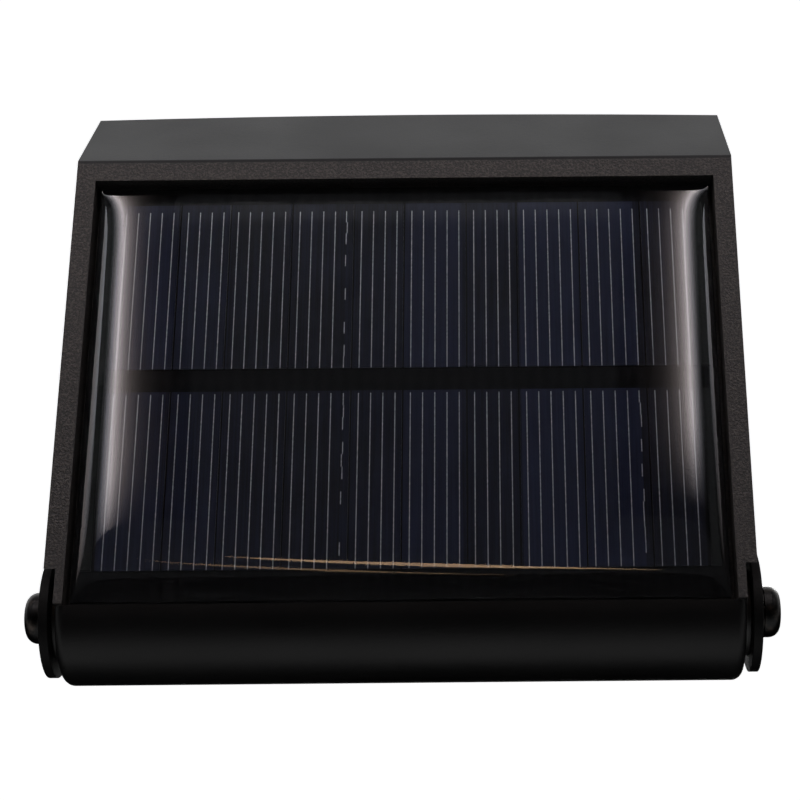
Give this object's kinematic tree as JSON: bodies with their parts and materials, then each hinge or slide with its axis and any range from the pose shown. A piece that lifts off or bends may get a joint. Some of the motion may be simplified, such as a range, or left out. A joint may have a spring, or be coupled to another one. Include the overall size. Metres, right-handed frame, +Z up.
{
  "type": "solar wall light",
  "caption": "Black solar wall light: a slab head with a solar panel on its sloping face tilts at its round nose between the ears of a U-shaped steel wall bracket.",
  "frame": {"origin": "centre of the wall plate's screw pattern, on the plate's back face", "axes": "+Y into the wall, -Y out towards the viewer, +Z up, X along the tilt axis"},
  "size_m": [0.1296, 0.0925, 0.0813],
  "materials": {
    "black_shell": "fine grained moulded black, smooth on the roof strip and nose",
    "black_cover": "plain moulded black",
    "black_steel": "black powder coat",
    "black_screw": "black oxide",
    "nylon": "black nylon",
    "brass": "turned",
    "epoxy": "clear glossy epoxy",
    "silicon": "dark blue cell with pale fingers",
    "ribbon": "tinned copper ribbon",
    "board_green": "green solder mask",
    "board_white": "white coated aluminium",
    "led": "white package with yellow phosphor",
    "lens_clear": "clear polycarbonate, lightly frosted",
    "white_tray": "white moulded",
    "seal_rubber": "black silicone",
    "foam": "closed-cell foam",
    "button_rubber": "dark grey soft touch",
    "component": "moulded black components",
    "battery_wrap": "blue shrink wrap",
    "cradle_plastic": "moulded black",
    "nickel": "nickel-plated spring steel",
    "wire": "PVC insulated wire",
    "zinc": "zinc plated"
  },
  "bodies": {
    "bracket": {"wall_bracket": "black_steel"},
    "head": {"head_housing": "black_shell", "panel_board": "board_green", "solar_cells": "silicon", "bus_ribbons": "ribbon", "panel_resin": "epoxy", "panel_gasket": "foam", "underside_cover": "black_cover", "cover_seal": "seal_rubber", "cover_screws": "black_screw", "lens_gasket": "seal_rubber", "lens": "lens_clear", "reflector": "white_tray", "led_board": "board_white", "led_chips": "led", "controller_board": "board_green", "board_parts": "component", "tact_switch": "component", "button_seal": "seal_rubber", "board_screws": "zinc", "battery_cell": "battery_wrap", "battery_cradle": "cradle_plastic", "battery_contacts": "nickel", "panel_leads": "wire", "led_leads": "wire", "battery_leads": "wire", "pivot_screws": "black_screw", "spring_washers": "black_screw", "friction_washers": "nylon", "pivot_inserts": "brass"},
    "button": {"mode_button": "button_rubber", "switch_plunger": "component"}
  },
  "joints": [
    {"name": "head_tilt", "type": "hinge", "parent": "bracket", "child": "head", "pos_m": [0, -0.08091, -0.02475], "axis": [1, 0, 0], "range_deg": [0, 60]},
    {"name": "button_press", "type": "slide", "parent": "head", "child": "button", "axis": [0, -0.7071, 0.7071], "range_m": [0, 0.0006], "stiffness_N_per_m": 1500}
  ]
}
